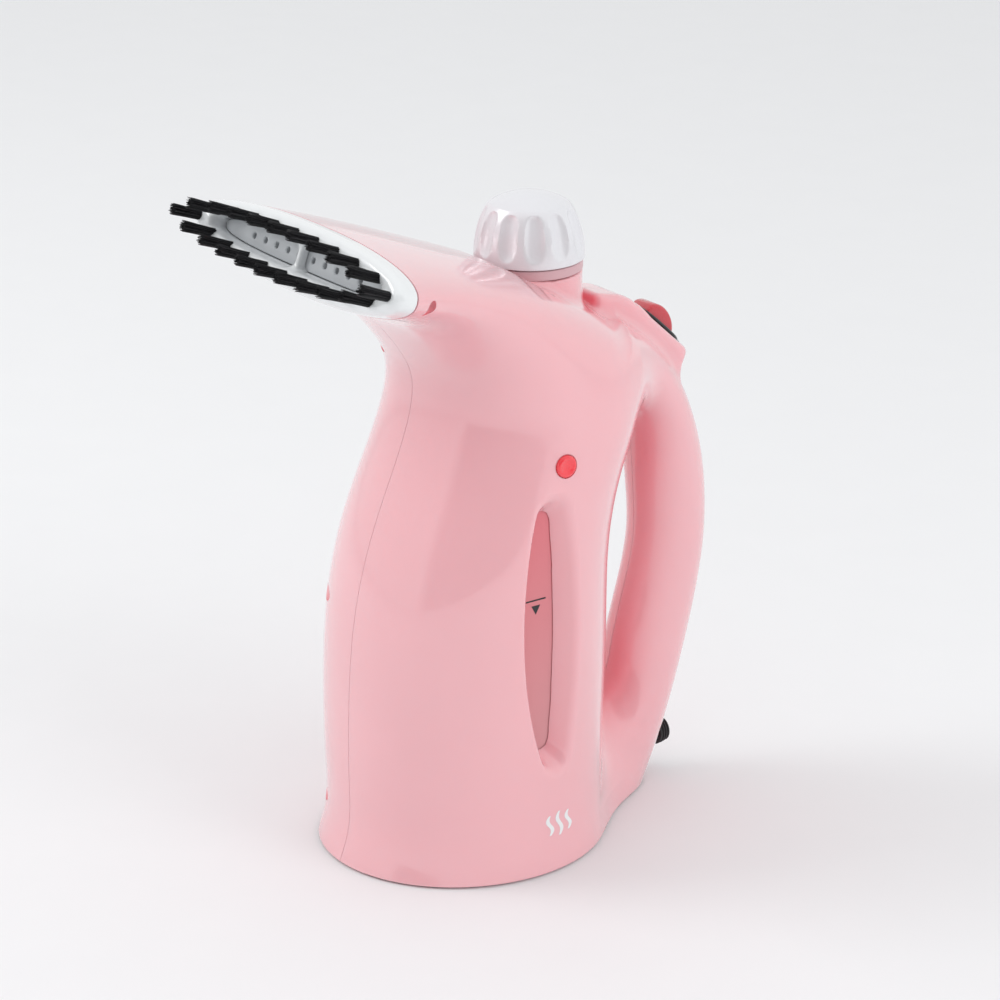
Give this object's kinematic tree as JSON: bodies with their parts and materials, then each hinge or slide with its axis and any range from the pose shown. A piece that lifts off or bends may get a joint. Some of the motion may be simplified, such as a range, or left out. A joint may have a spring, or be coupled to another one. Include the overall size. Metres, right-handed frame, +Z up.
{
  "type": "garment steamer",
  "caption": "Handheld garment steamer with a wide bristled steam nozzle, screw-on filler cap, level window, rear rocker switch and loop handle.",
  "frame": {"origin": "on the ground, under the middle of the bounding box", "axes": "+Z up, the nozzle looks along -Y, +X is the object's left side, with the level window"},
  "size_m": [0.139, 0.2073, 0.2648],
  "materials": {
    "pink_plastic": "gloss moulded plastic",
    "white_plastic": "satin moulded plastic",
    "grey_plastic": "satin moulded plastic",
    "pearl_plastic": "pearl silver paint",
    "bristle_black": "nylon bristle",
    "black_plastic": "satin",
    "red_clear": "translucent red",
    "collar_plastic": "satin",
    "tank_plastic": "translucent",
    "silicone": "matt",
    "aluminium": "cast",
    "steel": "zinc plated",
    "rubber": "matt",
    "ceramic": "matt",
    "brass": "turned"
  },
  "bodies": {
    "housing": {"left_shell": "pink_plastic", "right_shell": "pink_plastic", "base_plate": "pink_plastic", "steam_plate": "grey_plastic", "switch_bezel": "black_plastic", "cord_clamp": "black_plastic", "indicator_lens": "red_clear", "indicator_lamp": "red_clear", "neck_collar": "collar_plastic", "water_tank": "tank_plastic", "tank_seal": "silicone", "steam_duct": "silicone", "heating_plate": "aluminium", "housing_screw_1": "steel", "housing_screw_2": "steel", "housing_screw_3": "steel", "housing_screw_4": "steel", "housing_screw_5": "steel", "base_screw_1": "steel", "base_screw_2": "steel", "base_screw_3": "steel", "heating_element": "steel", "thermostat": "steel", "foot_1": "rubber", "foot_2": "rubber", "foot_3": "rubber", "foot_4": "rubber", "cord_gland": "rubber", "heater_skirt": "ceramic", "thermal_fuse": "ceramic", "terminal_block": "ceramic"},
    "brush": {"brush_frame": "white_plastic", "tuft_01": "bristle_black", "tuft_02": "bristle_black", "tuft_03": "bristle_black", "tuft_04": "bristle_black", "tuft_05": "bristle_black", "tuft_06": "bristle_black", "tuft_07": "bristle_black", "tuft_08": "bristle_black", "tuft_09": "bristle_black", "tuft_10": "bristle_black", "tuft_11": "bristle_black", "tuft_12": "bristle_black", "tuft_13": "bristle_black", "tuft_14": "bristle_black", "tuft_15": "bristle_black", "tuft_16": "bristle_black", "tuft_17": "bristle_black", "tuft_18": "bristle_black", "tuft_19": "bristle_black", "tuft_20": "bristle_black"},
    "cap_seal": {"cap_gasket": "silicone"},
    "cap_thread": {"cap_washer": "steel"},
    "cap": {"cap_shell": "pearl_plastic", "cap_plug": "white_plastic", "relief_spring": "steel"},
    "relief_valve": {"relief_pin": "brass"},
    "rocker_switch": {"rocker": "red_clear"}
  },
  "joints": [
    {"name": "brush_pull_off", "type": "slide", "parent": "housing", "child": "brush", "axis": [0, -0.9348, 0.3551], "range_m": [0, 0.04]},
    {"name": "cap_lift_off", "type": "slide", "parent": "housing", "child": "cap_seal", "axis": [0, 0, 1], "range_m": [0, 0.06]},
    {"name": "cap_thread_rise", "type": "slide", "parent": "cap_seal", "child": "cap_thread", "axis": [0, 0, 1], "range_m": [0, 0.0045]},
    {"name": "cap_turn", "type": "hinge", "parent": "cap_thread", "child": "cap", "pos_m": [0, 0.0189, 0.232], "axis": [0, 0, 1], "range_deg": [0, 540]},
    {"name": "relief_lift", "type": "slide", "parent": "cap", "child": "relief_valve", "axis": [0, 0, 1], "range_m": [0, 0.0025], "stiffness_N_per_m": 300, "springref_m": -0.003, "deforming": ["relief_spring"]},
    {"name": "rocker_tilt", "type": "hinge", "parent": "housing", "child": "rocker_switch", "pos_m": [0, 0.0774, 0.1946], "axis": [1, 0, 0], "range_deg": [0, 18]}
  ],
  "couplings": [
    {"joint": "cap_thread_rise", "follows": "cap_turn", "m_per_rad": 0.00047746}
  ]
}
